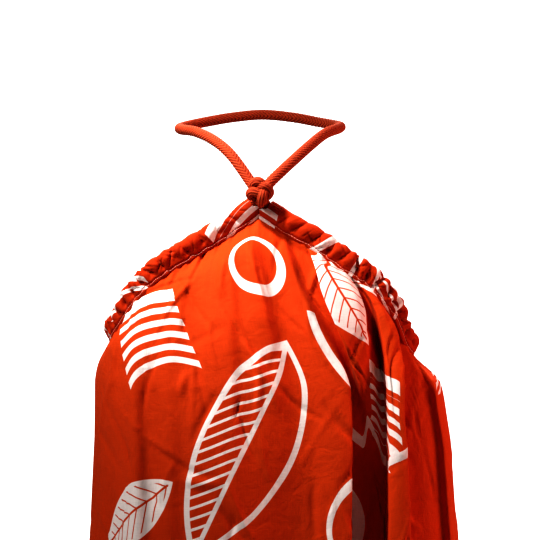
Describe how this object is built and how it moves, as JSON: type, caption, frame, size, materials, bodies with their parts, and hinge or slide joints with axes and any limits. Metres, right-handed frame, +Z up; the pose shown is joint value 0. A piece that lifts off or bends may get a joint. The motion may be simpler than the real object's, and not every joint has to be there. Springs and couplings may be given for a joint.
{
  "type": "halter tent dress",
  "caption": "Loose cloth dress that hangs from a rope halter, with gathered casings along its top edge and a knot at the centre front.",
  "frame": {"origin": "inner side of the rope loop at the back of the neck, where the dress is held when worn", "axes": "+Z up, -Y toward the front of the dress, +X toward the right of somebody who looks at the front"},
  "size_m": [0.571, 0.3741, 1.2002],
  "materials": {
    "printed_voile": "light cotton voile with a large white print, slightly see-through",
    "casing_voile": "the same voile, gathered",
    "rope": "matt twisted cotton rope"
  },
  "bodies": {
    "root": {"front_panel": "printed_voile", "back_panel": "printed_voile", "casing_left": "casing_voile", "casing_right": "casing_voile", "casing_back": "casing_voile", "casing_rope": "rope", "halter_rope": "rope"}
  },
  "joints": []
}
